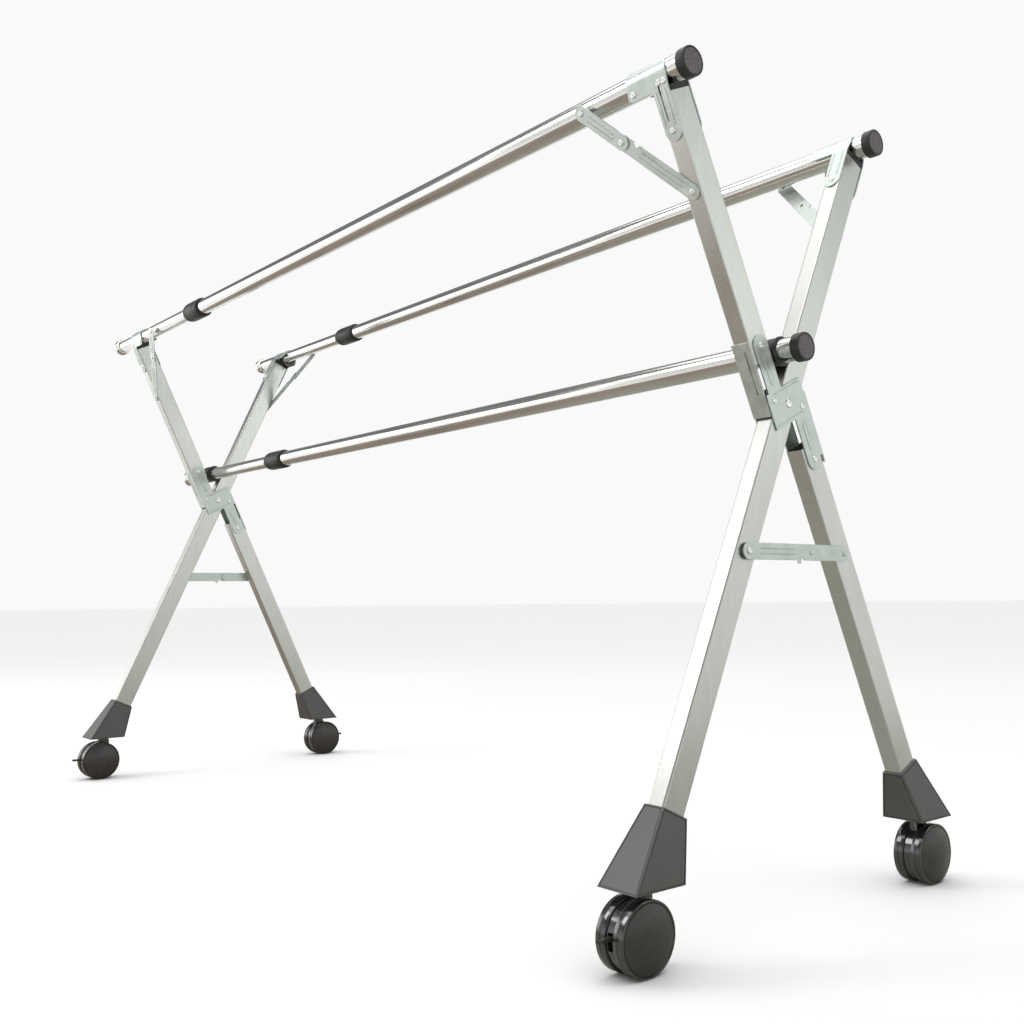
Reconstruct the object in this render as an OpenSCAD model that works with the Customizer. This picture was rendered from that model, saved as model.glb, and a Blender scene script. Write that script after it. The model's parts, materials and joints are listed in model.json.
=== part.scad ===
// Folding rolling clothes rack: two X-shaped end frames of rectangular tube carry
// three telescopic rods. +X runs along the rods to the capped ends, -Y is the front.
// Leg A of each frame runs from the front rod down to the back foot in two half tubes,
// leg B is one tube from the back rod down to the front foot and passes between them.

/* [Overall] */
// Height of the two top rods' axis above the floor
rod_height = 1040; // [900:10:1300]
// Distance between the two top rods' axes
rod_spacing = 382; // [340:2:460]
// Distance between the planes of the two end frames
frame_span = 1726; // [1500:2:2300]
// Lean of each leg from the vertical
leg_lean = 25.2; // [22:0.2:30]

/* [Legs] */
// Size of a leg tube along X
leg_w = 25; // [20:1:32]
// Size of a leg tube in the plane of the frame
leg_d = 38; // [32:1:46]
// Wall of a leg tube
leg_wall = 1.2; // [1:0.1:2]
// Corner radius of a leg tube
leg_corner = 2.5; // [2:0.1:4]
// Angle that is left between the legs when the frames are folded
folded_angle = 19; // [18:1:24]
// Distance from a top rod's axis to the end of the leg below it
leg_top_drop = 22; // [20:1:30]

/* [Rods] */
// Outer radius of the thick tubes
rod_r = 16; // [14.5:0.1:18]
// Wall of the rod tubes
rod_wall = 1.1; // [0.8:0.1:1.8]
// Length of the thick tubes
rod_tube_len = 1435; // [1250:5:1700]
// Length of the thin tubes
slide_tube_len = 1330; // [1000:10:1450]
// How far a top rod's cap stands out from its end frame
rod_overhang = 42; // [36:1:60]
// How much further the lower rod's cap stands out
lower_rod_extra = 10; // [0:1:20]
// How much further the lower rod's ball stands out
lower_ball_extra = 20; // [0:1:40]
// How far the ball's centre stands out from its end frame
ball_reach = 114; // [90:1:150]
// Radius of the balls that close the thin tubes
ball_r = 19; // [17.5:0.1:22]
// How far the end caps stand proud of the thick tube
cap_wall = 2.5; // [1.5:0.1:4]
// Length of the end caps
cap_len = 13; // [8:1:18]
// How far the clamping collars stand proud of the thick tube
collar_wall = 4.5; // [3:0.1:7]
// Length of the clamping collars
collar_len = 78; // [60:1:110]
// Thickness of the sleeves that hold the lower rod in the V of the legs
sleeve_wall = 2.5; // [1.5:0.1:4]
// Length of those sleeves
sleeve_len = 30; // [28:1:50]

/* [Pressed steel] */
// Thickness of the brackets, plates and links
sheet = 2; // [1.5:0.1:2.5]
// Length of a bracket's saddle along the rod
saddle_len = 64; // [54:1:80]
// Distance from the rod's axis to the rivet in a bracket's arm
bracket_arm = 66; // [56:1:80]
// Distance along the leg from the rod's axis to the corner stay's rivet
stay_drop = 142; // [125:1:170]
// Distance along the rod from the leg to the corner stay's rivet
stay_reach = 130; // [110:1:160]
// Share of the corner stay's length that is its upper link
stay_split = 0.38; // [0.34:0.01:0.44]
// Width of the corner stay's links
stay_w = 20; // [16:1:24]
// Height of the cross brace above the floor
brace_height = 465; // [420:5:500]
// Length of the brace's long link between rivets
brace_long = 125; // [110:1:130]
// Width of the cross brace's links
brace_w = 21; // [16:1:24]
// Radius of the pivot pins
pin_r = 4; // [3:0.5:5]
// Radius of a rivet's head
rivet_r = 4.2; // [3.5:0.1:5]
// Height of a rivet's head
rivet_h = 1.6; // [1:0.1:2.5]

/* [Feet and casters] */
// Clearance between the caster wheels and the foot above them
foot_clear = 9; // [6:1:20]
// Height of a foot socket along the leg
foot_h = 84; // [70:1:100]
// Size of a foot socket's lower face along X
foot_w = 62; // [54:1:70]
// Size of a foot socket's lower face along Y
foot_d = 78; // [66:1:86]
// How far the foot's lower face is shifted outwards from the leg's line
foot_shift = 6; // [0:1:10]
// Radius of the caster wheels
wheel_r = 42; // [32:1:50]
// Distance from a caster's swivel axis to its axle
trail = 10; // [6:1:16]
// Width of one wheel's tread
tread_w = 15; // [12:1:18]
// How far a wheel's cover bulges
wheel_dome = 7; // [4:0.5:9]
// Width of the caster housing between the wheels
housing_w = 11; // [9:0.5:13]
// Radius of a caster's stem
stem_r = 5; // [4:0.5:6]
// Radius of a caster's axle
axle_r = 3; // [2.5:0.5:4]

/* [Clearances] */
// Gap between pieces that move past each other
gap = 0.3; // [0.3:0.05:0.5]
// Gap all round between a thin tube and the thick tube it slides in
slide_gap = 0.9; // [0.4:0.1:1.5]
// Gap between a shaft and its hole
fit_gap = 0.05; // [0.03:0.01:0.09]

/* [Hidden] */

$fn = 48;
STEEL = [0.78, 0.78, 0.75];
CHROME = [0.82, 0.82, 0.83];
ZINC = [0.74, 0.78, 0.76];
BLACK = [0.12, 0.12, 0.13];
GREY = [0.33, 0.32, 0.32];
LONG = 400;

// Leg A's half tubes stand half a tube off the pivot on either side of leg B's line
leg_step = leg_d / cos(leg_lean);
pivot_y = -leg_step / 4;
pivot_z = rod_height - (rod_spacing - leg_step / 2) / (2 * tan(leg_lean));
left_overhang = ball_reach + lower_ball_extra + ball_r;
right_x = (frame_span + left_overhang - rod_overhang - lower_rod_extra) / 2;
left_x = right_x - frame_span;
open_angle = 2 * leg_lean;

// The top rods' places along each leg, measured from the pivot up the leg
rod_rise = rod_height - pivot_z;
b_rod_s = rod_rise / cos(leg_lean);
a_rod_s = b_rod_s + leg_d / 2 * tan(leg_lean);

// Leg A's tubes stop where leg B, folded, no longer reaches them
half_leg_start = (leg_d / 2 + 2) / sin(folded_angle);
plate_reach = half_leg_start + 20;
plate_arm_r = leg_d * 0.37;
plate_body = leg_d * 1.25;
flange_end = plate_reach + 11;
flange_top = (leg_d * cos(open_angle) - leg_d / 2) / sin(open_angle) - 3;
slot_w = 2.2;
shank_r = rivet_r * 0.55;
tie_at = [-leg_d * 0.68, leg_d * 0.34];

// The rods' thin tubes, end caps and collars
slide_r = rod_r - rod_wall - slide_gap;
cap_r = rod_r + cap_wall;
collar_r = rod_r + collar_wall;

// The lower rod lies against leg A's back face and leg B's front face
lower_r = rod_r + sleeve_wall;
lower_p = lower_r + gap;
lower_s = (leg_d / 2 + lower_r + gap + lower_p * cos(open_angle)) / sin(open_angle);

// The feet: the legs' lower ends and the casters' swivel axes
foot_z = 2 * wheel_r + foot_clear;
stem_y = (pivot_z - foot_z) * tan(leg_lean) + leg_step / 4 + foot_shift;
stem_len = 16;
leg_end_rise = 28;
foot_wall = 2.5;
foot_sole = 2;

// Leg B is narrower by the gaps that let it turn between the plates
leg_b_w = leg_w - 2 * gap;

// The corner stays and the cross braces
stay_len = norm([stay_reach, stay_drop]);
stay_angle = atan2(stay_drop, stay_reach);
brace_y = (pivot_z - brace_height) * tan(leg_lean) + leg_step / 4;
brace_short = 2 * brace_y - brace_long;
brace_inner_x = leg_w / 2 + gap;
brace_outer_x = brace_inner_x + sheet + gap;

// The casters
axle_z = wheel_r;
wheel_x = housing_w / 2 + gap;
rim_r = wheel_r - 4;
dome_r = (rim_r * rim_r + wheel_dome * wheel_dome) / (2 * wheel_dome);
housing_r = wheel_r - 2.5;
hood = 2;
neck_r = 12;
lever_w = housing_w - 4;
lever_y = housing_r - 15.5;
lever_z = 4;
lever_reach = wheel_r + 12;
lever_pin_r = 1.5;

// ---------- places ----------

// The plane of one end frame, with +X pointing away from the other frame
module end_frame(side) {
    translate([side == "right" ? right_x : left_x, pivot_y, pivot_z])
        mirror([side == "right" ? 0 : 1, 0, 0])
            children();
}

// Along a leg from the pivot: +Z up the leg, -Y towards the front
module along(side, leg) {
    end_frame(side) rotate([leg == "a" ? leg_lean : -leg_lean, 0, 0]) children();
}

// At the top rod of a leg: +Z up the leg, -Y out of the rack
module at_rod(side, leg) {
    along(side, leg)
        translate([0, leg == "a" ? -leg_d / 2 : 0, leg == "a" ? a_rod_s : b_rod_s])
            mirror([0, leg == "a" ? 0 : 1, 0])
                children();
}

// On the floor under a caster's stem: -Y out of the rack
module at_foot(side, leg) {
    translate([side == "right" ? right_x : left_x, (leg == "a" ? 1 : -1) * stem_y, 0])
        mirror([0, leg == "a" ? 1 : 0, 0])
            children();
}

// On the cross brace's line: Y as in the whole rack, +X away from the other frame
module at_brace(side) {
    end_frame(side) translate([0, -pivot_y, brace_height - pivot_z]) children();
}

// Turns what is drawn along Z so that it runs along X
module along_x() {
    rotate([0, 90, 0]) children();
}

// ---------- shared shapes ----------

module rounded(w, d, r) {
    square([w - 2 * r, d], center = true);
    square([w, d - 2 * r], center = true);
    for (x = [-1, 1], y = [-1, 1])
        translate([x * (w / 2 - r), y * (d / 2 - r)]) circle(r);
}

module tube_section(w) {
    difference() {
        rounded(w, leg_d, leg_corner);
        rounded(w - 2 * leg_wall, leg_d - 2 * leg_wall, leg_corner - leg_wall);
    }
}

module leg_tube(w, low, high) {
    translate([0, 0, low]) linear_extrude(high - low) tube_section(w);
}

// A rivet's head with its short shank going down through the sheet below it
module rivet(depth) {
    cylinder(r1 = rivet_r, r2 = rivet_r * 0.62, h = rivet_h);
    translate([0, 0, -depth]) cylinder(r = shank_r, h = depth + 0.5);
}

// A flat link in the XY plane from the origin along +X, with a hole at each end
module flat_link(length, w, start_hole, end_hole) {
    linear_extrude(sheet) difference() {
        union() {
            circle(w / 2);
            translate([0, -w / 2]) square([length, w]);
            translate([length, 0]) circle(w / 2);
        }
        circle(start_hole);
        translate([length, 0]) circle(end_hole);
    }
}

// Two shallow grooves pressed along a flat link's outer face
module rib_grooves(start, length) {
    for (y = [-3, 3]) translate([start, y - 0.5, sheet - 0.6]) cube([length, 1, 1]);
}

// ---------- legs and centre plates ----------

// Where the lower end of a leg's tube lies along the leg, level in both feet; leg A's
// lower half tube stands half a tube behind the pivot
function behind(leg) = leg == "a" ? leg_d / 2 : 0;
function along_leg(leg, z) = (z - pivot_z) / cos(leg_lean) - behind(leg) * tan(leg_lean);
function leg_end_s(leg) = along_leg(leg, foot_z + leg_end_rise);
function leg_width(leg) = leg == "a" ? leg_w : leg_b_w;

module a_leg(side) {
    color(STEEL) along(side, "a") {
        translate([0, -leg_d / 2, 0]) leg_tube(leg_w, half_leg_start, a_rod_s - leg_top_drop);
        translate([0, leg_d / 2, 0]) leg_tube(leg_w, leg_end_s("a"), -half_leg_start);
    }
}

module b_leg(side) {
    color(STEEL) along(side, "b") difference() {
        leg_tube(leg_b_w, leg_end_s("b"), b_rod_s - leg_top_drop);
        along_x() cylinder(r = pin_r + fit_gap, h = LONG, center = true);
    }
}

// Outline of a centre plate, drawn as (Y, Z) along leg A from the pivot
module plate_outline() {
    translate([-leg_d / 2, plate_reach]) circle(plate_arm_r);
    translate([-leg_d / 2 - plate_arm_r, 0]) square([2 * plate_arm_r, plate_reach]);
    translate([leg_d / 2, -plate_reach]) circle(plate_arm_r);
    translate([leg_d / 2 - plate_arm_r, -plate_reach]) square([leg_d / 2 + plate_arm_r, plate_reach]);
    translate([-leg_d, -plate_body / 2]) square([2 * leg_d, plate_body]);
}

// A centre plate on the outer side: its flange folds over the back of the lower
// half tube, with a slot where the edge is turned in
module centre_plate() {
    translate([leg_w / 2, 0, 0]) rotate([90, 0, 90]) linear_extrude(sheet) difference() {
        plate_outline();
        circle(pin_r);
        for (turn = [0, 180]) rotate(turn) {
            translate(tie_at) circle(shank_r);
            translate([-leg_d / 2, plate_reach]) circle(shank_r);
        }
    }
    difference() {
        translate([gap - leg_w / 2, leg_d, -flange_end])
            cube([leg_w + sheet - gap, sheet, flange_end + flange_top]);
        translate([-leg_w / 6, leg_d - 1, -flange_end + 12]) cube([slot_w, sheet + 2, flange_end * 0.6]);
    }
}

// The inner plate is the same pressing turned end for end, so its flange is in front
module a_plates(side) {
    color(ZINC) along(side, "a") {
        centre_plate();
        mirror([1, 0, 0]) rotate([180, 0, 0]) centre_plate();
    }
}

// ---------- brackets, pads and corner stays at the top of a leg ----------

function rod_at(side) = side == "right" ? rod_r : slide_r;

// Bar that is round over the rod, then flares to the depth of the leg
module saddle_bar(rod, grow) {
    half = leg_d / 2 + grow;
    crown = rod + gap + grow;
    along_x() cylinder(r = crown, h = LONG, center = true);
    rotate([90, 0, 90]) linear_extrude(LONG, center = true)
        polygon([[-crown, 0], [crown, 0], [half, -rod], [half, -LONG], [-half, -LONG], [-half, -rod]]);
}

// Side view of a bracket: a saddle along the rod and an arm down the leg
module bracket_outline() {
    arm = leg_w / 2;
    top = rod_r + 2 * sheet;
    corner = 7;
    nose = 16;
    translate([arm - saddle_len, corner - rod_r]) square([saddle_len - nose, top + rod_r - corner]);
    translate([arm - nose, top - nose]) circle(nose);
    translate([arm - nose - 1, corner - rod_r]) square([nose + 1, top + rod_r - corner - nose]);
    translate([arm - saddle_len + corner, -rod_r]) square([saddle_len - corner, rod_r]);
    translate([arm - saddle_len + corner, corner - rod_r]) circle(corner);
    translate([-arm, -bracket_arm]) square([leg_w, bracket_arm]);
    translate([0, -bracket_arm]) circle(arm);
}

module bracket(side, leg) {
    rod = rod_at(side);
    color(ZINC) at_rod(side, leg) difference() {
        intersection() {
            saddle_bar(rod, sheet);
            rotate([90, 0, 0]) linear_extrude(LONG, center = true) bracket_outline();
        }
        saddle_bar(rod, 0);
        translate([-leg_w / 8, -leg_d / 2 - sheet - 1, 12 - bracket_arm])
            cube([slot_w, sheet + 2, bracket_arm - 22]);
        translate([0, 0, -bracket_arm]) rotate([90, 0, 0])
            cylinder(r = shank_r, h = LONG, center = true);
    }
}

// Plastic plug in the leg's top end, hollowed to the rod that rests on it
module leg_pad(side, leg) {
    rod = rod_at(side);
    plug = 20;
    w = leg_width(leg);
    color(BLACK) at_rod(side, leg) difference() {
        union() {
            translate([0, 0, -leg_top_drop]) linear_extrude(leg_top_drop - rod + 2)
                rounded(w, leg_d - 2, leg_corner);
            translate([0, 0, -leg_top_drop - plug]) linear_extrude(plug + 1)
                rounded(w - 2 * leg_wall, leg_d - 2 * leg_wall, leg_corner - leg_wall);
        }
        along_x() cylinder(r = rod, h = LONG, center = true);
    }
}

// Along a corner stay from its rivet on the rod: the stay lies flat on the leg's
// outer face, which is the XY plane here
module along_stay(side, leg) {
    at_rod(side, leg) translate([-stay_reach, -leg_d / 2, 0])
        rotate([0, stay_angle, 0]) rotate([90, 0, 0]) children();
}

// A corner stay: the short link lies over the long one, which has the lock notch
module corner_stay(side, leg) {
    upper = stay_len * stay_split;
    lower = stay_len - upper;
    color(ZINC) along_stay(side, leg) {
        translate([0, 0, sheet + gap]) difference() {
            flat_link(upper, stay_w, shank_r, shank_r);
            rib_grooves(stay_w * 0.7, upper - 1.4 * stay_w);
        }
        translate([upper, 0, 0]) difference() {
            flat_link(lower, stay_w, shank_r, shank_r);
            translate([stay_w, stay_w / 2, -1]) cylinder(r = stay_w / 4, h = sheet + 2);
            rib_grooves(stay_w * 1.6, lower - 2.4 * stay_w);
        }
    }
}

// ---------- rivets and pins, one group for each leg ----------

module corner_rivets(side, leg) {
    rod = rod_at(side);
    upper = stay_len * stay_split;
    crown = rod + gap + sheet;
    half = leg_d / 2 + sheet;
    flare = atan2(half - crown, rod);
    at_rod(side, leg) {
        for (turn = [0, 180]) rotate([0, 0, turn])
            translate([0, -leg_d / 2 - sheet, -bracket_arm]) rotate([90, 0, 0]) rivet(sheet);
        for (x = [leg_w / 2 - saddle_len + 9, -1, leg_w / 2 - 5])
            translate([x, -(crown + half) / 2, -rod / 2]) rotate([90 - flare, 0, 0]) rivet(0);
    }
    along_stay(side, leg) {
        translate([0, 0, 2 * sheet + gap]) rivet(2 * sheet + gap + leg_d / 2 - rod);
        translate([upper, 0, 2 * sheet + gap]) rivet(2 * sheet + gap);
        translate([stay_len, 0, sheet]) rivet(sheet);
    }
}

// The pivot pin, the two ties between the plates and the rivets in the half tubes
module a_rivets(side) {
    half = leg_w / 2 + sheet;
    color(ZINC) {
        along(side, "a") {
            along_x() cylinder(r = pin_r, h = 2 * half, center = true);
            for (face = [0, 180], turn = [0, 180]) rotate([turn, 0, face]) {
                translate([half, 0, 0]) along_x() cylinder(r1 = pin_r + 2, r2 = pin_r, h = rivet_h);
                translate([half, face == 0 ? -leg_d / 2 : leg_d / 2, plate_reach])
                    along_x() rivet(sheet);
            }
            for (turn = [0, 180], face = [0, 180]) rotate([turn, 0, 0])
                translate([0, tie_at[0], tie_at[1]]) rotate([0, 0, face]) translate([half, 0, 0])
                    along_x() rivet(half);
        }
        corner_rivets(side, "a");
    }
}

// The rivets of leg B, one of which carries the cross brace on a spacer
module b_rivets(side) {
    spacer = brace_outer_x - gap - leg_b_w / 2;
    color(ZINC) {
        corner_rivets(side, "b");
        at_brace(side) translate([leg_b_w / 2, -brace_y, 0]) along_x() {
            cylinder(r = rivet_r, h = spacer);
            translate([0, 0, spacer + sheet + 2 * gap]) rivet(sheet + 2 * gap);
        }
    }
}

// ---------- cross braces ----------

// The long link turns on leg B's rivet and carries the knee's own rivet
module brace_long_link(side) {
    color(ZINC) at_brace(side) translate([brace_outer_x, -brace_y, 0]) {
        difference() {
            rotate([90, 0, 90]) flat_link(brace_long, brace_w, shank_r + fit_gap, shank_r);
            rotate([90, 0, 90]) rib_grooves(brace_w, brace_long - 2.6 * brace_w);
            translate([-1, brace_long - brace_w * 0.8, -brace_w / 2]) along_x()
                cylinder(r = brace_w / 7, h = sheet + 2);
        }
        translate([0, brace_long - brace_w * 1.3, -brace_w / 2 - 4]) cube([sheet, brace_w * 0.3, 5]);
        translate([sheet, brace_long, 0]) along_x() rivet(2 * sheet + gap);
    }
}

// The short link is hung on the knee's rivet and ends over leg A's lower tube
module brace_short_link(side) {
    color(ZINC) at_brace(side) translate([brace_inner_x, brace_y, 0]) {
        rotate([90, 0, 90]) mirror([1, 0, 0])
            flat_link(brace_short, brace_w, shank_r, shank_r + fit_gap);
        translate([sheet, 0, 0]) along_x() rivet(sheet);
    }
}

// ---------- rods ----------

// On a rod's axis in the plane of an end frame; rod is "front", "back" or "lower"
module on_rod(side, rod) {
    if (rod == "lower")
        along(side, "a") translate([0, lower_p, lower_s]) children();
    else
        at_rod(side, rod == "front" ? "a" : "b") children();
}

// The near end of a rod's thick tube, and the far end of its thin one
function tube_start(rod) = rod_overhang + (rod == "lower" ? lower_rod_extra : 0) - 2;
function slide_end(rod) = ball_reach + (rod == "lower" ? lower_ball_extra : 0) - ball_r;

// A round tube along +X from the origin
module round_tube(r, length) {
    along_x() difference() {
        cylinder(r = r, h = length);
        translate([0, 0, -1]) cylinder(r = r - rod_wall, h = length + 2);
    }
}

module rod_tube(rod) {
    color(CHROME) on_rod("right", rod) translate([tube_start(rod) - rod_tube_len, 0, 0])
        round_tube(rod_r, rod_tube_len);
}

module rod_slide(rod) {
    color(CHROME) on_rod("left", rod) translate([slide_end(rod) - slide_tube_len, 0, 0])
        round_tube(slide_r, slide_tube_len);
}

// Cap over the thick tube's near end, with a plug that goes inside it
module rod_cap(rod) {
    color(GREY) on_rod("right", rod) translate([tube_start(rod), 0, 0]) along_x() {
        difference() {
            union() {
                translate([0, 0, 2 - cap_len]) cylinder(r = cap_r, h = cap_len - 1);
                translate([0, 0, 1]) cylinder(r1 = cap_r, r2 = cap_r - 1, h = 1);
            }
            translate([0, 0, 1 - cap_len]) cylinder(r = rod_r, h = cap_len - 1);
        }
        translate([0, 0, -cap_len]) cylinder(r = rod_r - rod_wall, h = cap_len + 0.5);
    }
}

// Collar clamped on the thick tube's far end; the thin tube runs through its nose
module rod_collar(rod) {
    grip = collar_len * 0.62;
    nose = collar_len - grip;
    color(BLACK) on_rod("right", rod) translate([tube_start(rod) - rod_tube_len, 0, 0])
        rotate([0, 90, 0]) rotate_extrude() polygon([
            [rod_r, 0], [rod_r, grip], [rod_r + 1.8, grip], [collar_r, grip - 5],
            [collar_r, -nose * 0.4], [slide_r + 3, -nose], [slide_r + gap, -nose], [slide_r + gap, 0]
        ]);
}

// Ball with its neck and plug, closing the thin tube's far end
module rod_ball(rod) {
    color(CHROME) on_rod("left", rod) translate([slide_end(rod), 0, 0]) along_x() {
        translate([0, 0, ball_r]) sphere(ball_r);
        cylinder(r = slide_r + 2, h = ball_r / 2);
        translate([0, 0, -ball_r]) cylinder(r = slide_r - rod_wall, h = ball_r + 1);
    }
}

// Flanged sleeve that seats the lower rod between the two legs
module lower_sleeve(side) {
    rim = 2;
    rim_step = 1;
    color(BLACK) on_rod(side, "lower") along_x() difference() {
        union() {
            cylinder(r = lower_r, h = sleeve_len, center = true);
            for (end = [-1, 1]) translate([0, 0, end * (sleeve_len - rim) / 2])
                cylinder(r = lower_r + rim_step, h = rim, center = true);
        }
        cylinder(r = rod_at(side), h = sleeve_len + 2, center = true);
    }
}

// ---------- feet and casters ----------

// Tapered socket from the slanted leg down to a level face that takes the stem
module foot(side, leg) {
    top = along_leg(leg, foot_z) + foot_h;
    color(BLACK) difference() {
        hull() {
            at_foot(side, leg) translate([-foot_w / 2, -foot_d / 2, foot_z])
                cube([foot_w, foot_d, foot_sole]);
            along(side, leg) translate([0, behind(leg), top - 1]) linear_extrude(1)
                rounded(leg_w + 2 * foot_wall, leg_d + 2 * foot_wall, leg_corner);
        }
        along(side, leg) translate([0, behind(leg), leg_end_s(leg)]) linear_extrude(LONG)
            rounded(leg_width(leg), leg_d, leg_corner);
        at_foot(side, leg) translate([0, 0, foot_z - 1])
            cylinder(r = stem_r + fit_gap, h = stem_len + 2);
    }
}

// At a caster's axle, with the axle along Z
module at_axle() {
    translate([0, -trail, axle_z]) along_x() children();
}

// Housing between the wheels, with its neck and stem
module caster_housing(side, leg) {
    color(BLACK) at_foot(side, leg) difference() {
        union() {
            at_axle() cylinder(r = housing_r, h = housing_w, center = true);
            translate([-housing_w / 2, -trail - hood, axle_z])
                cube([housing_w, trail + hood + neck_r, wheel_r + hood]);
            translate([0, 0, 2 * wheel_r + 1]) cylinder(r = neck_r, h = foot_clear - gap - 1);
            translate([0, 0, foot_z - 4]) cylinder(r = stem_r, h = 4 + stem_len);
        }
        at_axle() cylinder(r = axle_r + fit_gap, h = LONG, center = true);
        translate([-lever_w / 2 - gap, -trail - LONG, axle_z + lever_z - 14])
            cube([lever_w + 2 * gap, LONG - lever_y + 4.5, 20]);
        translate([0, -trail - lever_y, axle_z + lever_z]) along_x()
            cylinder(r = lever_pin_r + fit_gap, h = LONG, center = true);
    }
}

// One wheel with its domed cover, turned about Z; its inner face is at the origin
module wheel() {
    bore = axle_r + fit_gap;
    deep = tread_w - 3;
    steps = 12;
    half = asin(rim_r / dome_r);
    rotate_extrude($fn = 96) polygon(concat(
        [[bore, 0], [bore, deep], [0, deep], [0, tread_w + wheel_dome]],
        [for (i = [1 : steps]) let (a = half * i / steps)
            [dome_r * sin(a), tread_w + wheel_dome - dome_r * (1 - cos(a))]],
        [[wheel_r - 1.5, tread_w], [wheel_r, tread_w - 1.5], [wheel_r, 1], [wheel_r - 1, 0]]
    ));
}

module caster_wheels(side, leg) {
    color(BLACK) at_foot(side, leg) at_axle() {
        for (turn = [0, 180]) rotate([turn, 0, 0]) translate([0, 0, wheel_x]) wheel();
        cylinder(r = axle_r, h = 2 * (wheel_x + tread_w - 4), center = true);
    }
}

// Brake lever hung in the housing's slot, reaching out between the wheels
module caster_lever(side, leg) {
    reach = lever_reach - lever_y;
    color(BLACK) at_foot(side, leg) translate([0, -trail - lever_y, axle_z + lever_z]) {
        along_x() cylinder(r = lever_pin_r, h = housing_w - 0.4, center = true);
        along_x() cylinder(r = 3.5, h = lever_w, center = true);
        translate([-lever_w / 2, -reach, -1.5]) cube([lever_w, reach, 4]);
        translate([0, -reach, -1.5]) cylinder(r = lever_w / 2 + 1.5, h = 4);
    }
}

// ---------- the whole rack ----------

a_leg("right");  // right_a_leg
a_plates("right");  // right_a_plates
bracket("right", "a");  // right_a_bracket
corner_stay("right", "a");  // right_a_stay
foot("right", "a");  // right_a_foot
leg_pad("right", "a");  // right_a_pad
a_rivets("right");  // right_a_rivets
b_leg("right");  // right_b_leg
bracket("right", "b");  // right_b_bracket
corner_stay("right", "b");  // right_b_stay
foot("right", "b");  // right_b_foot
leg_pad("right", "b");  // right_b_pad
b_rivets("right");  // right_b_rivets
a_leg("left");  // left_a_leg
a_plates("left");  // left_a_plates
bracket("left", "a");  // left_a_bracket
corner_stay("left", "a");  // left_a_stay
foot("left", "a");  // left_a_foot
leg_pad("left", "a");  // left_a_pad
a_rivets("left");  // left_a_rivets
b_leg("left");  // left_b_leg
bracket("left", "b");  // left_b_bracket
corner_stay("left", "b");  // left_b_stay
foot("left", "b");  // left_b_foot
leg_pad("left", "b");  // left_b_pad
b_rivets("left");  // left_b_rivets
rod_tube("front");  // front_rod_tube
rod_collar("front");  // front_rod_collar
rod_cap("front");  // front_rod_cap
rod_slide("front");  // front_rod_slide
rod_ball("front");  // front_rod_ball
rod_tube("back");  // back_rod_tube
rod_collar("back");  // back_rod_collar
rod_cap("back");  // back_rod_cap
rod_slide("back");  // back_rod_slide
rod_ball("back");  // back_rod_ball
rod_tube("lower");  // lower_rod_tube
rod_collar("lower");  // lower_rod_collar
rod_cap("lower");  // lower_rod_cap
lower_sleeve("right");  // lower_rod_sleeve
rod_slide("lower");  // lower_rod_slide
rod_ball("lower");  // lower_rod_ball
lower_sleeve("left");  // lower_rod_far_sleeve
brace_long_link("right");  // right_brace_long
brace_short_link("right");  // right_brace_short
brace_long_link("left");  // left_brace_long
brace_short_link("left");  // left_brace_short
caster_housing("right", "b");  // caster_rf_housing
caster_wheels("right", "b");  // caster_rf_wheels
caster_lever("right", "b");  // caster_rf_lever
caster_housing("right", "a");  // caster_rb_housing
caster_wheels("right", "a");  // caster_rb_wheels
caster_lever("right", "a");  // caster_rb_lever
caster_housing("left", "b");  // caster_lf_housing
caster_wheels("left", "b");  // caster_lf_wheels
caster_lever("left", "b");  // caster_lf_lever
caster_housing("left", "a");  // caster_lb_housing
caster_wheels("left", "a");  // caster_lb_wheels
caster_lever("left", "a");  // caster_lb_lever
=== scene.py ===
import json
import math

import bmesh
import bpy
from mathutils import Matrix, Vector


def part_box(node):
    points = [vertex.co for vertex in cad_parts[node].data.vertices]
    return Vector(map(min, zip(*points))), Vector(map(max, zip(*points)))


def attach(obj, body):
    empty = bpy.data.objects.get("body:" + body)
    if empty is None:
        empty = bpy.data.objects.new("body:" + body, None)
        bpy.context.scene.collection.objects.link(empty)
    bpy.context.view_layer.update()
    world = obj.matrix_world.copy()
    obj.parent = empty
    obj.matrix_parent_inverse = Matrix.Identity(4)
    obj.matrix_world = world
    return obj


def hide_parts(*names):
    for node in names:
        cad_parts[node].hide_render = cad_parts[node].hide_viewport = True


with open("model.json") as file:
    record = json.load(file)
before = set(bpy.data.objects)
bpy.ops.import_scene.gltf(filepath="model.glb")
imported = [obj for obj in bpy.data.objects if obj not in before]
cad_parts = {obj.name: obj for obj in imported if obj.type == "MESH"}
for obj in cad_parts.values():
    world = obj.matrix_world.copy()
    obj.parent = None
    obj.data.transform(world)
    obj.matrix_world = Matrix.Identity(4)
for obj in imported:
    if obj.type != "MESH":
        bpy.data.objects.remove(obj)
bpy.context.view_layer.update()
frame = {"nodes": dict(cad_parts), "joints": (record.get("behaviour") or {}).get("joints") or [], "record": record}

# Legs: rectangular stainless tube, satin ground along its length. Leg B of each end frame is
# one tube; leg A is two half tubes that stand half a tube off the pivot, above it in front
# and below it behind.
MM = 0.001
LEAN = math.radians(25.2)
LEG_W, LEG_D = 25, 38
NOISE_SPAN = (0.3, 0.7)
joint_of = {j["name"]: j for j in frame["joints"]}
pivot = {
    "right": Vector(joint_of["scissor_fold"]["pos_m"]) / MM,
    "left": Vector(joint_of["left_fold"]["pos_m"]) / MM,
}


def end_frame(side):
    """The plane of an end frame, from its pivot, with +X pointing away from the rack."""
    turned = Matrix.Diagonal((1 if side == "right" else -1, 1, 1, 1))
    return Matrix.Translation(pivot[side]) @ turned


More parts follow.
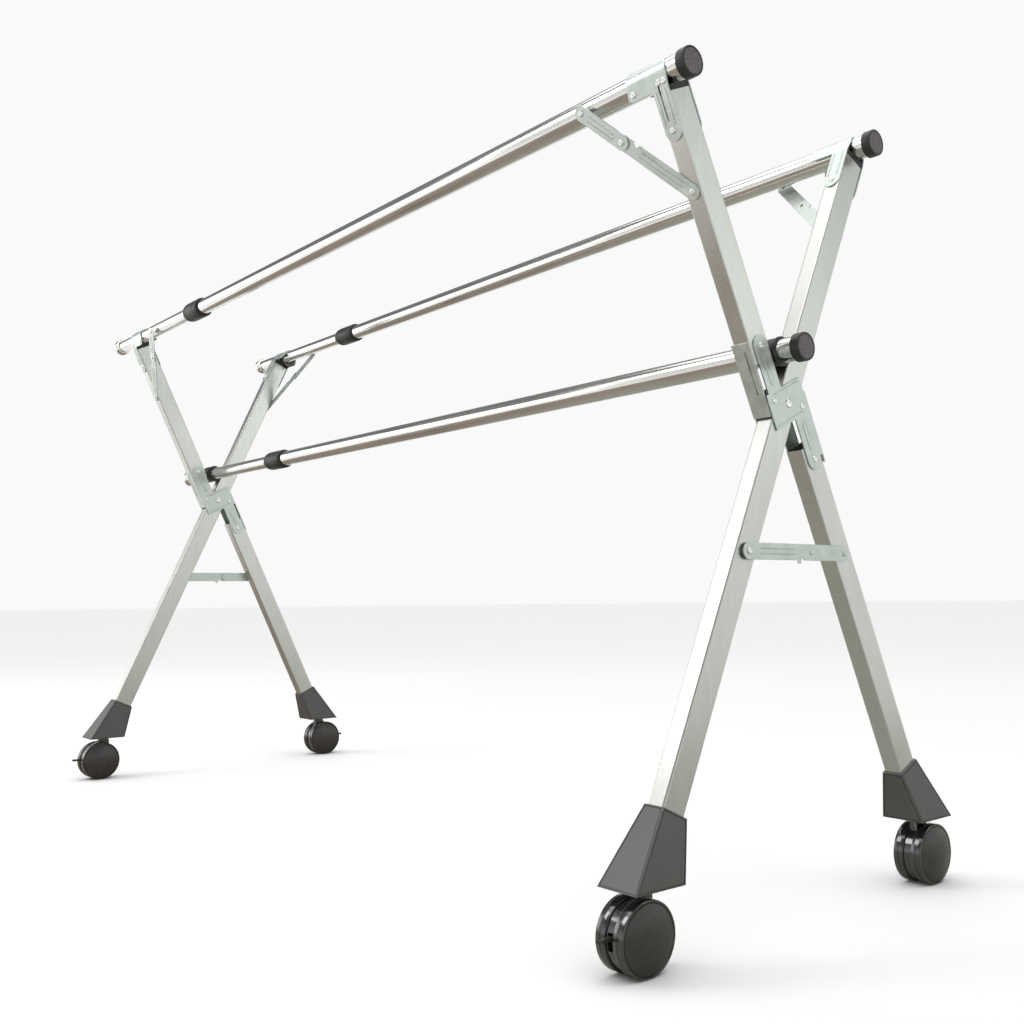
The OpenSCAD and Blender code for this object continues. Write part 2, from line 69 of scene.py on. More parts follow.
def along(side, leg):
    """Along a leg from the pivot: +Z up the leg."""
    return end_frame(side) @ Matrix.Rotation(LEAN if leg == "a" else -LEAN, 4, "X")


class Value:
    """A socket in a node tree; arithmetic on it adds Math nodes."""

    def __init__(self, nodes, socket):
        self.nodes, self.socket = nodes, socket

    def maths(self, operation, *others):
        return self.nodes.node("Math", {"operation": operation}, *others)

    def __add__(self, other):
        return self.maths("ADD", self, other)

    def __sub__(self, other):
        return self.maths("SUBTRACT", self, other)

    def __rsub__(self, other):
        return self.maths("SUBTRACT", other, self)

    def __mul__(self, other):
        return self.maths("MULTIPLY", self, other)

    __radd__, __rmul__ = __add__, __mul__

    def out(self, name):
        """Another output of the same node."""
        return Value(self.nodes, self.socket.node.outputs[name])


class Nodes:
    """A node tree, and one way to add a node to it."""

    def __init__(self, tree):
        self.tree = tree

    def node(self, kind, settings=None, *inputs, **named):
        """Adds a node: its settings first, then the values or links of its sockets."""
        added = self.tree.nodes.new("ShaderNode" + kind)
        for key, value in (settings or {}).items():
            if key == "stops":
                ramp = added.color_ramp
                while len(ramp.elements) < len(value):
                    ramp.elements.new(0.5)
                for stop, (at, colour) in zip(ramp.elements, value):
                    stop.position, stop.color = at, colour
            else:
                setattr(added, key, value)
        for key, value in [*enumerate(inputs), *named.items()]:
            self.feed(added.inputs[key], value)
        return Value(self, added.outputs[0])

    def feed(self, socket, value):
        if isinstance(value, Value):
            self.tree.links.new(value.socket, socket)
        else:
            socket.default_value = value


class Finish(Nodes):
    """A procedural material: the shader's constants, and what varies over the surface."""

    def __init__(self, name, **constants):
        self.material = bpy.data.materials.new(name)
        self.material.use_nodes = True
        super().__init__(self.material.node_tree)
        self.shader = self.tree.nodes["Principled BSDF"]
        self.where = self.node("TexCoord").out("Object")
        for key, value in constants.items():
            self.shader.inputs[key.replace("_", " ")].default_value = value

    def drive(self, name, value):
        self.feed(self.shader.inputs[name], value)

    def mapped(self, scale, turn=(0, 0, 0)):
        return self.node("Mapping", None, Vector=self.where, Scale=scale, Rotation=turn)

    def noise(self, vector, scale, detail=2):
        return self.node("TexNoise", None, Vector=vector, Scale=scale, Detail=detail)

    def mix(self, share, low, high):
        return self.node("MixRGB", None, share, low, high)

    def between(self, share, low, high):
        """Carries the span that a noise mostly lies in to low and high."""
        return self.node("MapRange", None, share, *NOISE_SPAN, low, high)

    def bump(self, height, distance, strength=1.0):
        self.drive("Normal", self.node(
            "Bump", None, Strength=strength, Distance=distance, Height=height))


def satin_steel(name, lean):
    """Ground stainless on a leg of a given lean: fine lines along it and faint clouds."""
    steel = Finish(name, Metallic=1.0)
    grain = steel.noise(steel.mapped((1500, 1500, 18), (-lean, 0, 0)), 1, 3)
    cloud = steel.noise(steel.mapped((14, 14, 5), (-lean, 0, 0)), 1, 3)
    tone = steel.mix(steel.between(cloud, 0, 1), (0.60, 0.61, 0.585, 1), (0.68, 0.69, 0.66, 1))
    steel.drive("Base Color", steel.mix(
        steel.between(grain, 0, 0.35), tone, (0.50, 0.49, 0.46, 1)))
    steel.drive("Roughness", steel.between(grain, 0.26, 0.38) + steel.between(cloud, -0.03, 0.03))
    steel.bump(grain, 0.00002, 0.2)
    return steel.material


def dress(node, material):
    """Gives a CAD node its finish."""
    materials = frame["nodes"][node].data.materials
    materials.clear()
    materials.append(material)


sides = ("right", "left")
leg_finish = {"a": satin_steel("satin_steel_a", LEAN), "b": satin_steel("satin_steel_b", -LEAN)}
for side in sides:
    for leg in "ab":
        dress(f"{side}_{leg}_leg", leg_finish[leg])

# Rods: polished stainless tube, thin ones sliding in thick ones, with their cut ends eased
# and with faint hairlines and haze from drawing along the tube.
chrome = Finish("polished_steel", Metallic=1.0)
hair = chrome.noise(chrome.mapped((6, 900, 900)), 1, 3)
haze = chrome.noise(chrome.mapped((9, 40, 40)), 1, 2)
chrome.drive("Base Color", chrome.mix(
    chrome.between(haze, 0, 1), (0.70, 0.69, 0.67, 1), (0.78, 0.77, 0.75, 1)))
chrome.drive("Roughness", chrome.between(hair, 0.09, 0.15) + chrome.between(haze, 0, 0.04))
rods = ("front", "back", "lower")
ROD_R, SLIDE_R, ROD_WALL, EASED = 16, 14, 1.1, 0.3
rod_body = {
    "front": ("right_frame_a", "left_frame_a"),
    "back": ("right_frame_b", "left_frame_b"),
    "lower": ("lower_rod", "lower_rod_inner"),
}


def join(shape, part, place):
    """Puts a part in its place and adds it to a shape."""
    bmesh.ops.transform(part, matrix=place, verts=part.verts)
    carrier = bpy.data.meshes.new("part")
    part.to_mesh(carrier)
    part.free()
    shape.from_mesh(carrier)
    bpy.data.meshes.remove(carrier)


def lathe(shape, profile, place, steps=48):
    """Adds a solid turned about X, from its (along, radius) points."""
    part = bmesh.new()
    points = [part.verts.new((x, 0, radius)) for x, radius in profile]
    lines = [part.edges.new(pair) for pair in zip(points, points[1:])]
    bmesh.ops.spin(part, geom=points + lines, axis=(1, 0, 0), cent=(0, 0, 0),
                   angle=math.tau, steps=steps, use_merge=True)
    join(shape, part, place)


def made(name, shape, material, body, slot, *nodes, crease=32):
    """Turns a shape in millimetres into a finished piece that rides on its body."""
    bmesh.ops.remove_doubles(shape, verts=shape.verts, dist=0.002)
    bmesh.ops.recalc_face_normals(shape, faces=shape.faces)
    bmesh.ops.scale(shape, vec=(MM, MM, MM), verts=shape.verts)
    mesh = bpy.data.meshes.new(name)
    shape.to_mesh(mesh)
    shape.free()
    mesh.materials.append(material)
    mesh.shade_smooth()
    mesh.set_sharp_from_angle(angle=math.radians(crease))
    piece = bpy.data.objects.new(name, mesh)
    bpy.context.scene.collection.objects.link(piece)
    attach(piece, body)
    if nodes:
        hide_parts(*nodes)
    return piece


def rod_end(node, low):
    """Where a rod's tube ends, in millimetres, with +X pointing along the rod."""
    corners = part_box(node)
    middle = (corners[0] + corners[1]) / 2
    x = corners[0].x if low else corners[1].x
    return Vector((x, middle.y, middle.z)) / MM


for rod in rods:
    for kind, node, body, radius in (("thick", "tube", rod_body[rod][0], ROD_R),
                                     ("thin", "slide", rod_body[rod][1], SLIDE_R)):
        start = rod_end(f"{rod}_rod_{node}", True)
        length = rod_end(f"{rod}_rod_{node}", False).x - start.x
        inner = radius - ROD_WALL
        tube = bmesh.new()
        lathe(tube, [(0, inner), (0, radius - EASED), (EASED, radius), (length - EASED, radius),
                     (length, radius - EASED), (length, inner), (0, inner)],
              Matrix.Translation(start), steps=128)
        made(f"{rod}_{kind}_tube", tube, chrome.material, body, "rod_chrome",
             f"{rod}_rod_{node}")

# Balls on the thin tubes' far ends: spun steel, polished, on a turned neck with a step
# and a groove, pushed into the tube.
BALL_R, NECK_R, GROOVE = 19, 16, 0.8
for rod in rods:
    place = (Matrix.Translation(rod_end(f"{rod}_rod_slide", True))
             @ Matrix.Rotation(math.pi, 4, "Z"))
    arc = [math.radians(a) for a in range(-48, 90, 6)]
    ball = bmesh.new()
    lathe(ball, [(0, SLIDE_R - 1), (0, NECK_R), (1.2, NECK_R), (1.8, NECK_R - GROOVE),
                 (2.6, NECK_R - GROOVE), (3.2, NECK_R), (5.4, NECK_R)]
          + [(BALL_R + BALL_R * math.sin(a), BALL_R * math.cos(a)) for a in arc]
          + [(2 * BALL_R, 0)], place)
    made(f"{rod}_end_ball", ball, chrome.material, rod_body[rod][1], "ball_chrome",
         f"{rod}_rod_ball", crease=25)

# Clamping collars on the thick tubes' far ends, caps with a dotted face on their near ends,
# sleeves on the lower rod and pads on the legs' tops: moulded black plastic with a fine
# grain, pushed on.
black = Finish("black_plastic", Roughness=0.42)
grit = black.noise(black.where, 2600, 2)
black.drive("Base Color", black.mix(
    black.between(grit, 0, 1), (0.010, 0.0095, 0.0095, 1), (0.020, 0.019, 0.018, 1)))
black.bump(grit, 0.00005, 0.5)
COLLAR_R, GRIP_LEN, GROOVE_R, CAP_R, CAP_END = 20.5, 48, 19.9, 18.5, 2
bore = SLIDE_R + 0.3
capped = Finish("cap_face_plastic", Roughness=0.55)
dots = capped.node("TexVoronoi", None, Vector=capped.where, Scale=420)
capped.drive("Base Color", capped.mix(
    capped.between(dots, 0, 1), (0.075, 0.066, 0.066, 1), (0.13, 0.118, 0.118, 1)))
capped.bump(dots, 0.0003, 0.6)
for rod in rods:
    holder = rod_body[rod][0]
    collar = bmesh.new()
    lathe(collar, [(GRIP_LEN, ROD_R), (GRIP_LEN + 0.4, ROD_R + 2.2),
                   (GRIP_LEN - 0.4, COLLAR_R - 0.9), (GRIP_LEN - 2, COLLAR_R), (31, COLLAR_R),
                   (30.2, GROOVE_R), (28.8, GROOVE_R), (28, COLLAR_R), (-8, COLLAR_R),
                   (-8.8, GROOVE_R), (-10.2, GROOVE_R), (-11, 20.3), (-17, 19.8), (-23, 18.4),
                   (-27.5, 16.4), (-29.2, 15.2), (-29.6, bore), (0, bore), (0, ROD_R),
                   (GRIP_LEN, ROD_R)],
          Matrix.Translation(rod_end(f"{rod}_rod_tube", True)), steps=64)
    made(f"{rod}_collar", collar, black.material, holder, "trim_plastic", f"{rod}_rod_collar")
    near = Matrix.Translation(rod_end(f"{rod}_rod_tube", False))
    cap = bmesh.new()
    lathe(cap, [(-11, ROD_R), (-11, CAP_R - 0.4), (-10.6, CAP_R), (0.4, CAP_R),
                (CAP_END - 0.5, CAP_R - 0.3), (CAP_END, CAP_R - 1.1), (CAP_END, CAP_R - 2.1),
                (CAP_END - 0.6, ROD_R), (CAP_END - 0.6, 0)], near, steps=64)
    made(f"{rod}_cap", cap, black.material, holder, "cap_plastic", f"{rod}_rod_cap")
    face = bmesh.new()
    lathe(face, [(CAP_END - 0.7, 15.8), (CAP_END - 0.3, 15.6), (CAP_END - 0.2, 15.2),
                 (CAP_END - 0.2, 0)], near, steps=64)
    made(f"{rod}_cap_face", face, capped.material, holder, "cap_plastic")
for name in frame["nodes"]:
    if name.endswith(("_pad", "_sleeve")):
        dress(name, black.material)

# Brackets, centre plates, stays and braces: pressed from zinc-plated sheet, with rounded
# edges, raised ribs that stiffen them, and rivets.
PRESSED_EDGE = 0.35
zinc = Finish("zinc_plate", Metallic=0.85)
spangle = zinc.noise(zinc.mapped((60, 60, 60)), 1, 4)
fine = zinc.noise(zinc.mapped((500, 500, 500)), 1, 2)
zinc.drive("Base Color", zinc.mix(
    zinc.between(spangle, 0, 1), (0.50, 0.55, 0.52, 1), (0.62, 0.67, 0.64, 1)))
zinc.drive("Roughness", zinc.between(spangle, 0.32, 0.44) + zinc.between(fine, -0.02, 0.02))
zinc.bump(fine, 0.00004, 0.3)


def softened(node, edge, material, body, slot, crease=34):
    """A CAD piece with its sharp edges rounded over, in place of the plain one."""
    shape = bmesh.new()
    shape.from_mesh(frame["nodes"][node].data)
    bmesh.ops.scale(shape, vec=(1 / MM,) * 3, verts=shape.verts)
    bmesh.ops.remove_doubles(shape, verts=shape.verts, dist=0.002)
    bmesh.ops.dissolve_limit(shape, angle_limit=math.radians(0.6), verts=shape.verts,
                             edges=shape.edges)
    piece = made(f"{node}_piece", shape, material, body, slot, node, crease=crease)
    rounding = piece.modifiers.new("edges", "BEVEL")
    rounding.width, rounding.segments = edge * MM, 2
    rounding.limit_method, rounding.angle_limit = "ANGLE", math.radians(crease)
    rounding.use_clamp_overlap = False
    rounding.harden_normals = True
    return piece


body_of = {node: body for body, members in frame["record"]["behaviour"]["bodies"].items()
           for node in members}
for side in sides:
    for name in ("a_plates", "a_bracket", "b_bracket", "a_stay", "b_stay", "brace_long",
                 "brace_short"):
        node = f"{side}_{name}"
        softened(node, PRESSED_EDGE, zinc.material, body_of[node], "zinc_plate")

# Raised ribs: pressed up out of the same sheet to stiffen it, two long and two short ones
# on each face of the centre plates and a pair on each arm of the brackets.
SHEET, PLATE_REACH, BRACKET_ARM = 2, 84.5, 66
RIB_LONG, RIB_SHORT, RIB_ARM = 56, 42, 44
half_w, half_d = LEG_W / 2, LEG_D / 2
step = LEG_D / math.cos(LEAN)
rod_height = rod_end("front_rod_tube", True).z
rod_up_b = (rod_height - pivot["right"].z) / math.cos(LEAN)
rod_up = {"a": rod_up_b + half_d * math.tan(LEAN), "b": rod_up_b}
behind = {"a": half_d, "b": 0}


def at_rod(side, leg):
    """At the top rod of a leg: +Z up the leg, -Y out of the rack."""
    outward = Matrix.Diagonal((1, 1 if leg == "a" else -1, 1, 1))
    return along(side, leg) @ Matrix.Translation((0, -behind[leg], rod_up[leg])) @ outward


def facing(origin, out, right):
    """A place on a sheet: Z comes out of it and X lies along it."""
    out, right = Vector(out).normalized(), Vector(right).normalized()
    turned = Matrix((right, out.cross(right), out)).transposed().to_4x4()
    return Matrix.Translation(origin) @ turned


def rib(shape, place, length, width, proud=0.7):
    """Adds a rib with round ends and an eased top, half sunk in its sheet."""
    bar = bmesh.new()
    bmesh.ops.create_cube(bar, size=1)
    bmesh.ops.scale(bar, vec=(length, width, 2 * proud), verts=bar.verts)
    upright = [e for e in bar.edges if abs(e.verts[0].co.z - e.verts[1].co.z) > proud]
    bmesh.ops.bevel(bar, geom=upright, offset=width * 0.48, segments=5, affect="EDGES",
                    profile=0.5, material=-1)
    upper = [e for e in bar.edges if min(v.co.z for v in e.verts) > 0]
    bmesh.ops.bevel(bar, geom=upper, offset=proud * 0.7, segments=2, affect="EDGES",
                    profile=0.5, material=-1)
    join(shape, bar, place)


for side in sides:
    ribs = bmesh.new()
    for flip in (Matrix(), Matrix.Diagonal((-1, 1, 1, 1)) @ Matrix.Rotation(math.pi, 4, "X")):
        face = along(side, "a") @ flip
        for place, length, width, right in (
                ((half_w + SHEET, -half_d, 52), RIB_SHORT, 8, (0, 0, 1)),
                ((half_w + SHEET, half_d, -52), RIB_SHORT, 8, (0, 0, 1)),
                ((half_w + SHEET, 4, 19.5), RIB_LONG, 2.6, (0, 1, 0)),
                ((half_w + SHEET, -4, -19.5), RIB_LONG, 2.6, (0, 1, 0))):
            rib(ribs, face @ facing(place, (1, 0, 0), right), length, width)
    made(f"{side}_plate_ribs", ribs, zinc.material, f"{side}_frame_a", "zinc_plate")
    for leg in "ab":
        ribs = bmesh.new()
        for out in (-1, 1):
            for x in (-8.5, 6):
                place = facing((x, out * (half_d + SHEET), -38), (0, out, 0), (0, 0, 1))
                rib(ribs, at_rod(side, leg) @ place, RIB_ARM, 2.4, proud=0.6)
        made(f"{side}_{leg}_bracket_ribs", ribs, zinc.material, f"{side}_frame_{leg}",
             "zinc_plate")

# Rivets: bright steel ones with a dimple in the head, set over the brackets, stays, plates
# and braces, and the broad heads of the pivot pin.
HEAD_R, PIN_HEAD_R, SHANK_R = 4.2, 6, 2.3
SADDLE_LEN, STAY_DROP, STAY_REACH, STAY_SPLIT, GAP = 64, 142, 130, 0.38, 0.3
BRACE_Z = 465
stay_len = math.hypot(STAY_DROP, STAY_REACH)
stay_angle = math.atan2(STAY_DROP, STAY_REACH)
rod_radius = {"right": ROD_R, "left": SLIDE_R}
bright = Finish("rivet_steel", Metallic=1.0)
tumbled = bright.noise(bright.mapped((300, 300, 300)), 1, 2)
bright.drive("Base Color", bright.mix(
    bright.between(tumbled, 0, 1), (0.84, 0.84, 0.81, 1), (0.94, 0.94, 0.92, 1)))
bright.drive("Roughness", bright.between(tumbled, 0.2, 0.3))


def head(shape, place, out, radius=HEAD_R):
    """Adds a rivet's head, seated at the place's origin, with its outside along out."""
    turn = Vector(out).to_track_quat("X", "Z").to_matrix().to_4x4()
    k = radius / HEAD_R
    lathe(shape, [(0, 0), (0, radius), (0.35, radius), (0.9, 3.9 * k), (1.35, 3.2 * k),
                  (1.6, 2.5 * k), (1.5, 1.8 * k), (1.0, 1.5 * k), (0.7, 1.2 * k), (0.7, 0)],
          place @ turn, steps=24)


def corner_heads(shape, side, leg):
    """Adds the heads at a leg's top rod: on the arms, the saddle and the corner stay."""
    top = at_rod(side, leg)
    rod = rod_radius[side]
    crown, half = rod + GAP + SHEET, half_d + SHEET
    flare = math.atan2(half - crown, rod)
    for out in (-1, 1):
        head(shape, top @ Matrix.Translation((0, out * half, -BRACKET_ARM)), (0, out, 0))
    for x in (half_w - SADDLE_LEN + 9, -1, half_w - 5):
        head(shape, top @ Matrix.Translation((x, -(crown + half) / 2, -rod / 2)),
             (0, -math.cos(flare), math.sin(flare)))
    stay = (top @ Matrix.Translation((-STAY_REACH, -half_d, 0))
            @ Matrix.Rotation(stay_angle, 4, "Y"))
    upper, lapped = stay_len * STAY_SPLIT, 2 * SHEET + GAP
    for down_stay, out in ((0, lapped), (upper, lapped), (stay_len, SHEET)):
        head(shape, stay @ Matrix.Translation((down_stay, -out, 0)), (0, -1, 0))


for side in sides:
    heads = bmesh.new()
    corner_heads(heads, side, "a")
    centre = along(side, "a")
    for out in (-1, 1):
        face = centre @ Matrix.Translation((out * (half_w + SHEET), 0, 0))
        head(heads, face, (out, 0, 0), PIN_HEAD_R)
        for sign in (-1, 1):
            for y, z in ((half_d, PLATE_REACH), (0.68 * LEG_D, 0.34 * LEG_D)):
                head(heads, face @ Matrix.Translation((0, -sign * y, sign * z)), (out, 0, 0))
    made(f"{side}_a_rivet_heads", heads, bright.material, f"{side}_frame_a", "zinc_plate",
         f"{side}_a_rivets")
    heads = bmesh.new()
    corner_heads(heads, side, "b")
    brace_y = (pivot[side].z - BRACE_Z) * math.tan(LEAN) + step / 4
    level = end_frame(side) @ Matrix.Translation((0, -pivot[side].y, BRACE_Z - pivot[side].z))
    spacer_in, spacer_out = half_w - GAP, half_w + GAP + SHEET
    link_out = half_w + 3 * GAP + 2 * SHEET
    lathe(heads, [(spacer_in, 0), (spacer_in, HEAD_R), (spacer_out, HEAD_R),
                  (spacer_out, SHANK_R), (link_out, SHANK_R), (link_out, 0)],
          level @ Matrix.Translation((0, -brace_y, 0)), steps=24)
    head(heads, level @ Matrix.Translation((link_out, -brace_y, 0)), (1, 0, 0))
    made(f"{side}_b_rivet_heads", heads, bright.material, f"{side}_frame_b", "zinc_plate",
         f"{side}_b_rivets")

# Feet: tapered sockets moulded in black plastic, slipped over the legs' lower ends, with
# crisp edges, a fine groove round each side and an open underside that holds the caster's
# stem.
FOOT_W, FOOT_D, FOOT_H, FOOT_WALL, FOOT_EDGE = 62, 78, 84, 2.5, 1.3
PANEL_AREA = 1500
PANEL_GROOVE = ((1.2, 0), (0.3, -1.2), (0.8, 0), (0.3, 1.0))
matt = Finish("foot_plastic", Specular_IOR_Level=0.9)
pits = matt.noise(matt.where, 1900, 2)
flow = matt.noise(matt.mapped((22, 22, 9)), 1, 3)
matt.drive("Base Color", matt.mix(
    matt.between(flow, 0, 1), (0.034, 0.031, 0.029, 1), (0.052, 0.048, 0.046, 1)))
matt.drive("Roughness", matt.between(flow, 0.36, 0.44))
matt.bump(pits, 0.00006, 0.5)


def deepest(shape, direction):
    """The face of a shape that lies furthest along a direction."""
    return max(shape.faces, key=lambda f: f.calc_center_median().dot(direction))


def hollowed(shape, direction, wall, depth):
    """Insets the face that lies furthest along a direction and sinks it."""
    face = deepest(shape, direction)
    bmesh.ops.inset_region(shape, faces=[face], thickness=wall, use_even_offset=True)
    face = deepest(shape, direction)
    raised = bmesh.ops.extrude_face_region(shape, geom=[face])["geom"]
    moved = [v for v in raised if isinstance(v, bmesh.types.BMVert)]
    bmesh.ops.translate(shape, vec=-depth * direction, verts=moved)


for side in sides:
    for leg in "ab":
        corner = side[0] + {"a": "b", "b": "f"}[leg]
        stem = Vector(joint_of[f"caster_{corner}_swivel"]["pos_m"]) / MM
        up_leg = along(side, leg)
        out = 1 if side == "right" else -1
        top = (stem.z - pivot[side].z) / math.cos(LEAN) - behind[leg] * math.tan(LEAN) + FOOT_H
        socket = bmesh.new()
        bmesh.ops.create_cube(socket, size=2)
        for v in socket.verts:
            if v.co.z > 0:
                v.co = up_leg @ Vector((v.co.x * out * (half_w + FOOT_WALL),
                                        behind[leg] + v.co.y * (half_d + FOOT_WALL), top))
            else:
                v.co = stem + Vector((v.co.x * FOOT_W / 2, v.co.y * FOOT_D / 2, 0))
        bmesh.ops.bevel(socket, geom=socket.edges[:], offset=FOOT_EDGE, segments=3,
                        affect="EDGES", profile=0.5, material=-1)
        bmesh.ops.recalc_face_normals(socket, faces=socket.faces)
        panels = [f for f in socket.faces
                  if f.calc_area() > PANEL_AREA and abs(f.normal.z) < 0.7]
        for thickness, depth in PANEL_GROOVE:
            bmesh.ops.inset_individual(socket, faces=panels, thickness=thickness, depth=depth)
        hollowed(socket, up_leg.to_3x3() @ Vector((0, 0, 1)), wall=0.9, depth=5)
        hollowed(socket, Vector((0, 0, -1)), wall=4, depth=4)
        made(f"{side}_{leg}_foot_socket", socket, matt.material, f"{side}_frame_{leg}",
             "foot_plastic", f"{side}_{leg}_foot", crease=45)

# Casters: twin wheels moulded in glossy black with a groove round the tread, satin domed
# covers snapped into them, a housing with a slot for the brake lever.
gloss = Finish("gloss_black", Coat_Weight=1.0, Coat_Roughness=0.14, Coat_IOR=1.7)
swirl = gloss.noise(gloss.where, 120, 3)
gloss.drive("Base Color", gloss.mix(
    gloss.between(swirl, 0, 1), (0.012, 0.012, 0.012, 1), (0.022, 0.021, 0.021, 1)))
gloss.drive("Roughness", gloss.between(swirl, 0.14, 0.22))
domed = Finish("satin_black", Specular_IOR_Level=0.7)
mottle = domed.noise(domed.where, 90, 3)
domed.drive("Base Color", domed.mix(
    domed.between(mottle, 0, 1), (0.020, 0.017, 0.015, 1), (0.032, 0.028, 0.026, 1)))
domed.drive("Roughness", domed.between(mottle, 0.31, 0.35))
WHEEL_R, RIM_R, HUB_R, TREAD_W, DOME, WHEEL_X = 42, 38, 12, 15, 7, 5.8
AXLE_R, AXLE_REACH, DOME_RINGS, MOULDED_EDGE = 3, 19, 14, 0.5
mid, seat = TREAD_W / 2, TREAD_W - 1.4
cover_r = (RIM_R ** 2 + DOME ** 2) / (2 * DOME)
tread_line = [(0, HUB_R), (0, WHEEL_R - 1.6), (0.5, WHEEL_R - 0.5), (1.6, WHEEL_R),
              (mid - 0.6, WHEEL_R), (mid - 0.3, WHEEL_R - 0.6), (mid + 0.3, WHEEL_R - 0.6),
              (mid + 0.6, WHEEL_R), (TREAD_W - 1.6, WHEEL_R), (TREAD_W - 0.6, WHEEL_R - 0.3),
              (TREAD_W, WHEEL_R - 1.2), (TREAD_W, WHEEL_R - 2.8), (TREAD_W - 0.5, RIM_R + 0.8),
              (seat, RIM_R + 0.5), (seat, HUB_R), (0, HUB_R)]
dome_arc = [math.asin((RIM_R - 1.2) / cover_r) * (1 - i / DOME_RINGS)
            for i in range(DOME_RINGS + 1)]
cover_line = ([(seat, RIM_R + 0.3), (TREAD_W - 0.2, RIM_R), (TREAD_W + 0.3, RIM_R - 0.6)]
              + [(TREAD_W + DOME - cover_r * (1 - math.cos(a)), cover_r * math.sin(a))
                 for a in dome_arc])
for side in sides:
    for end in "fb":
        caster = f"caster_{side[0]}{end}"
        axle = Vector(joint_of[f"{caster}_roll"]["pos_m"]) / MM
        treads, covers = bmesh.new(), bmesh.new()
        for turn in (0, math.pi):
            place = (Matrix.Translation(axle) @ Matrix.Rotation(turn, 4, "Z")
                     @ Matrix.Translation((WHEEL_X, 0, 0)))
            lathe(treads, tread_line, place, steps=96)
            lathe(covers, cover_line, place, steps=96)
        lathe(treads, [(-AXLE_REACH, 0), (-AXLE_REACH, AXLE_R), (AXLE_REACH, AXLE_R),
                       (AXLE_REACH, 0)], Matrix.Translation(axle), steps=24)
        made(f"{caster}_treads", treads, gloss.material, f"{caster}_wheels", "wheel_plastic",
             f"{caster}_wheels")
        made(f"{caster}_covers", covers, domed.material, f"{caster}_wheels", "wheel_plastic")
        for name, finish in (("housing", gloss), ("lever", domed)):
            node = f"{caster}_{name}"
            softened(node, MOULDED_EDGE, finish.material, node, "caster_plastic")

# Floor: plain pale paper with a very faint mottle, which runs out far past the view, flat
# and level under the wheels.
pale = Finish("pale_floor", Roughness=0.85)
paper = pale.noise(pale.where, 3, 2)
pale.drive("Base Color", pale.mix(paper, (0.93, 0.93, 0.925, 1), (0.95, 0.95, 0.945, 1)))


def disc(name, radius, height, segments, material):
    """A flat round stage piece, in metres."""
    shape = bmesh.new()
    bmesh.ops.create_circle(shape, cap_ends=True, radius=radius, segments=segments)
    bmesh.ops.translate(shape, vec=(0, 0, height), verts=shape.verts)
    mesh = bpy.data.meshes.new(name)
    shape.to_mesh(mesh)
    shape.free()
    mesh.materials.append(material)
    piece = bpy.data.objects.new(name, mesh)
    bpy.context.scene.collection.objects.link(piece)
    return piece


disc("floor", 40, 0, 96, pale.material)

# Card: dark and warm, flat under the rack. Only the metal's reflections take it in, which
# gives the polished tubes their dark lower band.
warm = Finish("card", Roughness=0.9)
spot = warm.node("SeparateXYZ", None, warm.where)
across_card = (spot.out("X") + spot.out("Y")) * 0.2 + 0.5
warm.drive("Base Color", warm.mix(
    warm.between(across_card, 0, 1), (0.25, 0.205, 0.165, 1), (0.36, 0.375, 0.325, 1)))
card = disc("card", 2.7, 0.001, 64, warm.material)
card.visible_camera = card.visible_diffuse = card.visible_shadow = False

# Lights: a broad soft ceiling and four softboxes round the rack, which the polished tubes
# mirror as bright bands.
middle = (0, 0, 0.6)


def softbox(name, place, target, size, power, colour):
    """A rectangular light that faces its target and isn't seen itself."""
    data = bpy.data.lights.new(name, "AREA")
    data.shape, data.size, data.size_y = "RECTANGLE", size[0], size[1]
    data.energy, data.color = power, colour
    lamp = bpy.data.objects.new(name, data)
    lamp.location = place
    lamp.rotation_euler = (Vector(target) - Vector(place)).to_track_quat("-Z", "Y").to_euler()
    lamp.visible_camera = False
    bpy.context.scene.collection.objects.link(lamp)


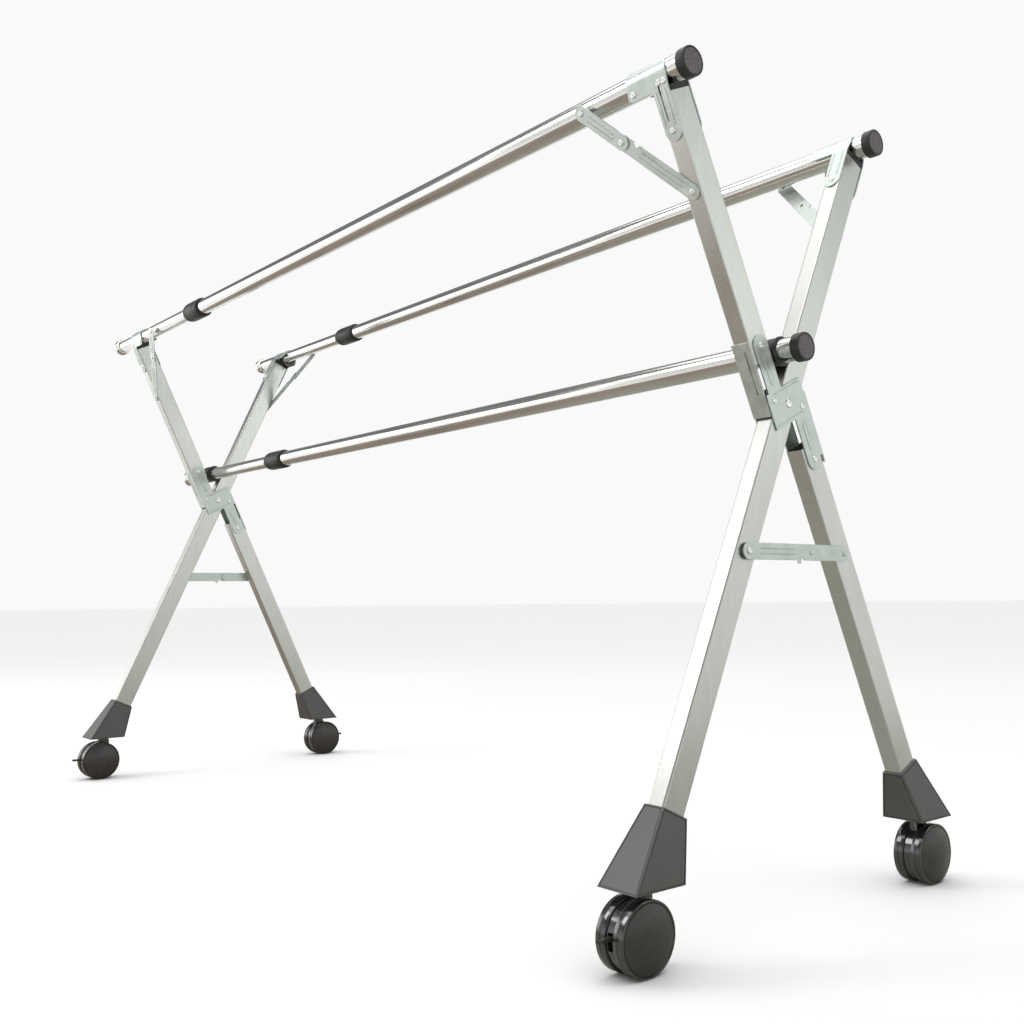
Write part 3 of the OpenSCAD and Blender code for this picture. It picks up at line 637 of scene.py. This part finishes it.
softbox("overhead", (0.3, 0.0, 3.6), middle, (4.0, 3.0), 14, (1, 1, 1))
softbox("key", (-1.6, -2.6, 3.0), middle, (1.4, 1.4), 34, (1, 1, 0.99))
softbox("left_front", (-3.4, -2.2, 1.4), middle, (2.4, 2.0), 20, (1.0, 0.99, 0.97))
softbox("right", (3.5, 2.3, 2.0), middle, (1.5, 1.8), 7, (0.95, 1.0, 0.97))
sun_data = bpy.data.lights.new("ceiling", "SUN")
sun_data.energy, sun_data.angle = 2.0, math.radians(84)
bpy.context.scene.collection.objects.link(bpy.data.objects.new("ceiling", sun_data))

# Room: white all round behind the rack, while the metal mirrors a warm dark floor, a bright
# level band and a dim ceiling.
WALL = (0.95, 0.95, 0.95, 1)
ROOM_STOPS = (
    (0.0, (0.38, 0.33, 0.29, 1)), (0.47, (0.45, 0.40, 0.36, 1)), (0.52, (0.95, 0.96, 0.95, 1)),
    (0.62, (0.80, 0.84, 0.81, 1)), (0.72, (0.18, 0.18, 0.18, 1)), (1.0, (0.30, 0.30, 0.30, 1)))
world = bpy.data.worlds.new("studio")
bpy.context.scene.world = world
world.use_nodes = True
room = Nodes(world.node_tree)
level_seen = room.node("SeparateXYZ", None, room.node("TexCoord").out("Generated")).out("Z")
height_share = room.node("MapRange", None, level_seen, -1, 1)
bands = room.node("ValToRGB", {"stops": ROOM_STOPS}, height_share)
camera_ray = room.node("LightPath").out("Is Camera Ray")
room.feed(room.tree.nodes["Background"].inputs["Color"],
          room.node("MixRGB", None, camera_ray, bands, WALL))

# Camera: low, just past the capped ends' front corner, looking along the rack and slightly
# up.
bpy.context.scene.view_settings.view_transform = "Standard"
EYE = (1.7791, -1.1683, 0.4159)
yaw, pitch, roll = math.radians(140.72), math.radians(4.27), math.radians(-0.58)
forward = Vector((math.cos(yaw) * math.cos(pitch), math.sin(yaw) * math.cos(pitch),
                  math.sin(pitch)))
across = Vector((math.sin(yaw), -math.cos(yaw), 0))
up = across.cross(forward)
turned_across = math.cos(roll) * across + math.sin(roll) * up
turned_up = -math.sin(roll) * across + math.cos(roll) * up
camera_data = bpy.data.cameras.new("camera")
camera_data.lens, camera_data.sensor_width = 38.4, 36
camera = bpy.data.objects.new("camera", camera_data)
aim = Matrix((turned_across, turned_up, -forward)).transposed().to_4x4()
camera.matrix_world = Matrix.Translation(EYE) @ aim
bpy.context.scene.collection.objects.link(camera)
bpy.context.scene.camera = camera
